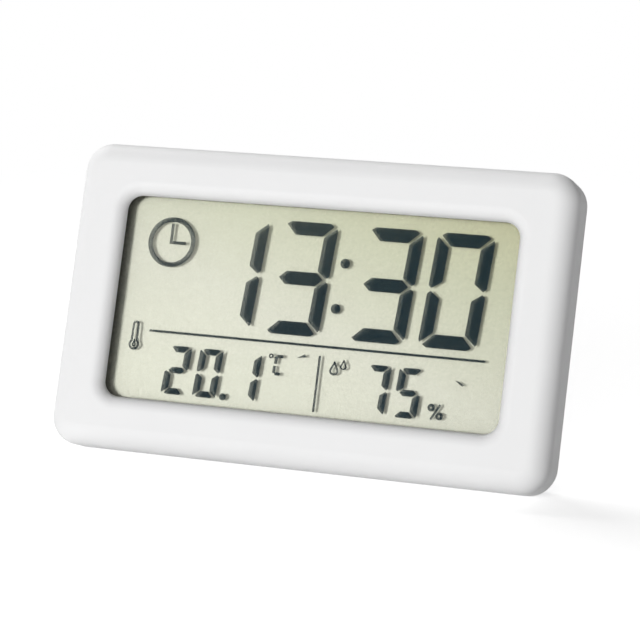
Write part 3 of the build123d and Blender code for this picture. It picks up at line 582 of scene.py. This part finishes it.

# %% [markdown]
# The reflector is a silvery plastic film with a fine, speckled grain. Its tiny facets slant, so that they
# send the light of a softbox to the viewer. A matte film would need no slant, but it would also fill the
# shadows on it with light from all sides. Seen through the polariser it is a pale grey green. Its colour
# also holds painted light and shade: a straight gradient over the face paints the ground paler at the lower
# left and darker and yellower at the upper right, where the light and the line of sight meet the film at
# other angles.

# %% The reflector
# The film's own pale grey green, with painted light and shade: paler at the lower left, darker and yellower
# at the upper right
FILM_COLOURS_AND_PAINTED_SHADE = [
    (0.0, (0.282, 0.286, 0.24)), (0.4, (0.269, 0.272, 0.229)),
    (0.75, (0.236, 0.243, 0.182)), (1.0, (0.222, 0.224, 0.149)),
]
FILM_GLOSS = (0.46, 0.54)
FILM_SLANT = (0.049, 0, -0.0985)
FILM_GRAIN_DEPTH = 0.000003
FILM_GRAIN = 1600
FILM_SPECKLE = 0.74
FILM_DRIFT = 0.97
PAINTED_SHADE_ACROSS = 6.0
PAINTED_SHADE_UPWARDS = 17.0
PAINTED_SHADE_MIDDLE = 0.45


def add_ramp(tree, source, stops, x, y):
    """Colours along a value, as a list of positions and colours."""
    node = add_node(tree, "ShaderNodeValToRGB", x, y)
    for _ in stops[2:]:
        node.color_ramp.elements.new(0.5)
    for stop, (position, colour) in zip(node.color_ramp.elements, stops):
        stop.position = position
        stop.color = (*colour, 1)
    tree.links.new(source, node.inputs["Fac"])
    return node


reflector, tree, shader = new_material("reflector")
on_film = add_face_place(tree)
# A slope over the face places the painted shade, from the lower left to the upper right
across = add_node(tree, "ShaderNodeVectorMath", -1100, 0)
across.operation = "DOT_PRODUCT"
across.inputs[1].default_value = (PAINTED_SHADE_ACROSS, 0, PAINTED_SHADE_UPWARDS)
tree.links.new(on_film, across.inputs[0])
along = add_node(tree, "ShaderNodeMath", -950, 0)
along.operation = "ADD"
along.inputs[1].default_value = PAINTED_SHADE_MIDDLE
tree.links.new(across.outputs["Value"], along.inputs[0])
film_colour_and_painted_shade = add_ramp(tree, along.outputs["Value"], FILM_COLOURS_AND_PAINTED_SHADE, -800, 0)
shader.inputs["Metallic"].default_value = 1
film = add_surface(tree, film_colour_and_painted_shade.outputs["Color"], FILM_GLOSS, FILM_GRAIN, FILM_DRIFT)
film.inputs["Speckle"].default_value = FILM_SPECKLE
slant = add_node(tree, "ShaderNodeVectorMath", -800, -400)
slant.operation = "DOT_PRODUCT"
slant.inputs[1].default_value = [-slope for slope in FILM_SLANT]
facets = add_node(tree, "ShaderNodeMath", -450, -400)
facets.operation = "MULTIPLY_ADD"
facets.inputs[1].default_value = FILM_GRAIN_DEPTH
for source, target in [
    (on_film, slant.inputs[0]),
    (film.outputs["Height"], facets.inputs[0]),
    (slant.outputs["Value"], facets.inputs[2]),
    (film.outputs["Colour"], shader.inputs["Base Color"]),
    (film.outputs["Roughness"], shader.inputs["Roughness"]),
]:
    tree.links.new(source, target)
add_bump(tree, shader, facets.outputs["Value"], distance=1.0, strength=1.0)
print("reflector nodes", len(tree.nodes))

# %% [markdown]
# The rest is inside the case or on its back. The rubber strips that join the board to the display are
# thin layers of carbon and silicone in turn, so they are stripes, and the board is solder mask over
# copper tracks. Wave textures draw both. The stripes and tracks could be pieces of their own, but they
# are flush with the surface, so a pattern is enough.

# %% Striped rubber and the green board
STRIPE_PITCH = 0.00018
TRACK_PITCH = 0.0016
TRACK_WANDER = 1.2
STRIPE_DRIFT = 0.92
STRIPE_GRAIN_DEPTH = 0.00001


def striped(name, stops, pitch, direction, distortion, gloss, grain_scale):
    """A finish with even stripes across one direction of the face."""
    material, tree, shader = new_material(name)
    waves = add_node(tree, "ShaderNodeTexWave", -1100, 0, Distortion=distortion)
    waves.bands_direction = direction
    waves.inputs["Scale"].default_value = math.pi / (10 * pitch)
    tree.links.new(add_face_place(tree), waves.inputs["Vector"])
    stripes = add_ramp(tree, waves.outputs["Fac"], stops, -800, 0)
    surface = add_surface(tree, stripes.outputs["Color"], gloss, grain_scale, STRIPE_DRIFT)
    finish_surface(tree, shader, surface, STRIPE_GRAIN_DEPTH)
    return material


CARBON, SILICONE = (0.02, 0.02, 0.022), (0.62, 0.34, 0.37)
MASK, TRACK = (0.012, 0.11, 0.04), (0.03, 0.2, 0.08)
connector_rubber = striped(
    "connector_rubber", [(0.45, CARBON), (0.55, SILICONE)], STRIPE_PITCH, "X", 0.0, (0.6, 0.75), 5000
)
board_green = striped(
    "board_green", [(0.7, MASK), (0.76, TRACK)], TRACK_PITCH, "DIAGONAL", TRACK_WANDER, (0.25, 0.4), 2500
)
print("stripes every", STRIPE_PITCH, "m, tracks every", TRACK_PITCH, "m")

# %% [markdown]
# Each solid now gets the finish of its piece. The two glass plates lie exactly on their neighbours, and
# a ray that leaves one face would miss another at the same depth. Welding their corners and drawing
# them in by a hundredth of a millimetre parts the faces without changing the solids themselves.

# %% Dress the solids
FINISHES = {
    case_white: ["front_shell", "rear_cover", "stand", "battery_cover"],
    key_grey: ["up_button", "mode_button", "down_button"],
    switch_black: ["switch_bodies", "up_plunger", "mode_plunger", "down_plunger"],
    foam_black: ["display_gasket"],
    polariser_film: ["front_polariser"],
    display_glass: ["lcd_front_glass", "lcd_rear_glass"],
    seal_resin: ["lcd_edge_seal"],
    reflector: ["reflector_film"],
    connector_rubber: ["upper_connector_strip", "lower_connector_strip"],
    board_green: ["circuit_board"],
    resin_black: ["controller_dome"],
    ceramic_brown: ["chip_components"],
    bead_black: ["thermistor"],
    sensor_white: ["humidity_sensor"],
    plated_steel: ["timing_crystal", "coin_cell", "board_screws", "case_screws"],
    contact_plating: ["negative_contact", "positive_contact"],
}
DRAW_IN = 0.00001


def dress(piece, finish):
    """Give a piece one finish all over."""
    piece.data.materials.clear()
    piece.data.materials.append(finish)


for finish, names in FINISHES.items():
    for name in names:
        dress(frame["nodes"][name], finish)
for sign in signs:
    dress(sign, liquid_crystal)
for name in FINISHES[display_glass]:
    plate = frame["nodes"][name]
    plate.modifiers.new("join_corners", "WELD").merge_threshold = DRAW_IN / 10
    draw_in = plate.modifiers.new("draw_in", "DISPLACE")
    draw_in.mid_level = 0
    draw_in.strength = -DRAW_IN
print("dressed", sum(len(names) for names in FINISHES.values()), "solids and", len(signs), "signs")

# %% [markdown]
# The clock stands on a plain floor, which isn't a part of it. One large square is enough. Floor and
# surroundings should look white without throwing that much light on the clock, so a helper tells rays
# of sight and of reflection from the light itself.

# %% The floor
FLOOR_HALF = 3.0


def add_seen(tree, x, y):
    """One for rays of sight, reflection and clear layers, nothing for the light itself."""
    path = add_node(tree, "ShaderNodeLightPath", x, y)
    total = path.outputs["Is Camera Ray"]
    for name in ("Is Glossy Ray", "Is Transmission Ray"):
        larger = add_node(tree, "ShaderNodeMath", x + 200, y)
        larger.operation = "MAXIMUM"
        tree.links.new(total, larger.inputs[0])
        tree.links.new(path.outputs[name], larger.inputs[1])
        total = larger.outputs["Value"]
    return total


floor_mesh = bmesh.new()
bmesh.ops.create_grid(floor_mesh, x_segments=1, y_segments=1, size=FLOOR_HALF)
floor_data = bpy.data.meshes.new("floor")
floor_mesh.to_mesh(floor_data)
floor_mesh.free()
floor = bpy.data.objects.new("floor", floor_data)
bpy.context.scene.collection.objects.link(floor)
print("floor", 2 * FLOOR_HALF, "m wide")

# %% [markdown]
# The photograph has a white ground with nothing on it. A white floor lit to pure white would throw too
# much light back, so the floor is pale and lifts itself to white only for sight and for reflections.
# Near the clock the lift is added to the light that falls there, which keeps the clock's own shadow,
# and further away the floor fades into plain white.

# %% The floor's finish
FLOOR_PALE = 0.86
FLOOR_ROUGHNESS = 0.9
FLOOR_LIFT = 0.6
FADE_START, FADE_END = 0.1, 0.3

floor_finish, tree, shader = new_material("pale_floor")
shader.inputs["Base Color"].default_value = (FLOOR_PALE, FLOOR_PALE, FLOOR_PALE, 1)
shader.inputs["Roughness"].default_value = FLOOR_ROUGHNESS
shader.inputs["Specular IOR Level"].default_value = 0
seen = add_seen(tree, -900, 300)
lift = add_node(tree, "ShaderNodeMath", -450, 300)
lift.operation = "MULTIPLY"
lift.inputs[1].default_value = FLOOR_LIFT
near = add_node(tree, "ShaderNodeEmission", -250, 300)
far = add_node(tree, "ShaderNodeEmission", -250, 500)
lifted = add_node(tree, "ShaderNodeAddShader", 300, 200)
spot = add_node(tree, "ShaderNodeTexCoord", -1100, 700)
reach = add_node(tree, "ShaderNodeVectorMath", -900, 700)
reach.operation = "LENGTH"
fade = add_node(tree, "ShaderNodeMapRange", -700, 700)
fade.interpolation_type = "SMOOTHSTEP"
fade.inputs["From Min"].default_value = FADE_START
fade.inputs["From Max"].default_value = FADE_END
far_share = add_node(tree, "ShaderNodeMath", -450, 700)
far_share.operation = "MULTIPLY"
blend = add_node(tree, "ShaderNodeMixShader", 500, 300)
for source, target in [
    (seen, lift.inputs[0]),
    (lift.outputs["Value"], near.inputs["Strength"]),
    (shader.outputs["BSDF"], lifted.inputs[0]),
    (near.outputs["Emission"], lifted.inputs[1]),
    (spot.outputs["Object"], reach.inputs[0]),
    (reach.outputs["Value"], fade.inputs["Value"]),
    (fade.outputs["Result"], far_share.inputs[0]),
    (seen, far_share.inputs[1]),
    (far_share.outputs["Value"], blend.inputs["Fac"]),
    (lifted.outputs["Shader"], blend.inputs[1]),
    (far.outputs["Emission"], blend.inputs[2]),
    (blend.outputs["Shader"], tree.nodes["Material Output"].inputs["Surface"]),
]:
    tree.links.new(source, target)
dress(floor, floor_finish)
print("floor fades to white between", FADE_START, "and", FADE_END, "m")

# %% [markdown]
# Soft light comes from a round softbox to the left of the clock, nearly straight out from its leaning
# face. It is small enough to leave the bezel's shadow on the display and the pale doubles of the signs.
# A broad softbox in front, at the right and a little above evens out the bezel, and another one above,
# behind and to the left lights the top edge, the left side and the floor. The surroundings add a little.

# %% The light
KEY_SIDEWAYS = 0.3
KEY_LOWER = 0.112
SURROUNDINGS = 0.06
# Each softbox has its direction, its distance and width in metres, and its power in watts
SOFTBOXES = [
    ("key_softbox", to_front - KEY_SIDEWAYS * to_right - KEY_LOWER * to_up, 1.8, 0.4, 17.9),
    ("fill_softbox", Vector((0.22, -1.0, 0.35)), 1.8, 1.1, 6.7),
    ("top_softbox", Vector((-0.6, 0.45, 0.75)), 1.3, 0.8, 8.8),
]


def add_softbox(name, direction, distance, size, power):
    """A round area light that looks at the middle of the face from a direction."""
    lamp = bpy.data.lights.new(name, "AREA")
    lamp.shape, lamp.size, lamp.energy = "DISK", size, power
    box = bpy.data.objects.new(name, lamp)
    box.location = face_middle + direction.normalized() * distance
    box.rotation_euler = (-direction).to_track_quat("-Z", "Y").to_euler()
    bpy.context.scene.collection.objects.link(box)


for softbox in SOFTBOXES:
    add_softbox(*softbox)

world = bpy.data.worlds.new("surroundings")
world.use_nodes = True
bpy.context.scene.world = world
sky = world.node_tree.nodes["Background"]
sky.inputs["Color"].default_value = (1, 1, 1, 1)
brightness = add_map(world.node_tree, add_seen(world.node_tree, -700, 0), SURROUNDINGS, 1.0, -250, 0)
world.node_tree.links.new(brightness, sky.inputs["Strength"])
print("softboxes", [name for name, *_ in SOFTBOXES], "surroundings", SURROUNDINGS)

# %% [markdown]
# The camera stands to the right of the clock and looks down a little. Its place and its lens come from
# fitting the corners of the case and of the window in the photograph. The clock isn't quite in the
# middle of the picture, and a small lens shift does that without turning the camera. A line of sight
# and the light it finds cross up to sixteen faces of clear layers, twice what is usual, so that limit
# is raised here too.

# %% The camera
CAMERA_AROUND = math.radians(19.504)
CAMERA_ABOVE = math.radians(14.479)
CAMERA_DISTANCE = 0.43929
PICTURE_WIDTH = 640
LENS_PIXELS = 2320.3
SENSOR = 36.0
SHIFT_PIXELS = (16.0, -10.3)
CLEAR_CROSSINGS = 32

camera_data = bpy.data.cameras.new("camera")
camera_data.sensor_width = SENSOR
camera_data.lens = LENS_PIXELS * SENSOR / PICTURE_WIDTH
camera_data.shift_x, camera_data.shift_y = (pixels / PICTURE_WIDTH for pixels in SHIFT_PIXELS)
camera = bpy.data.objects.new("camera", camera_data)
towards_camera = Vector((
    math.sin(CAMERA_AROUND) * math.cos(CAMERA_ABOVE),
    -math.cos(CAMERA_AROUND) * math.cos(CAMERA_ABOVE),
    math.sin(CAMERA_ABOVE),
))
camera.location = face_middle + towards_camera * CAMERA_DISTANCE
camera.rotation_euler = (-towards_camera).to_track_quat("-Z", "Y").to_euler()
bpy.context.scene.collection.objects.link(camera)
bpy.context.scene.camera = camera
bpy.context.scene.view_settings.view_transform = "Standard"
bpy.context.scene.cycles.transparent_max_bounces = CLEAR_CROSSINGS
print("lens", round(camera_data.lens, 2), "mm")
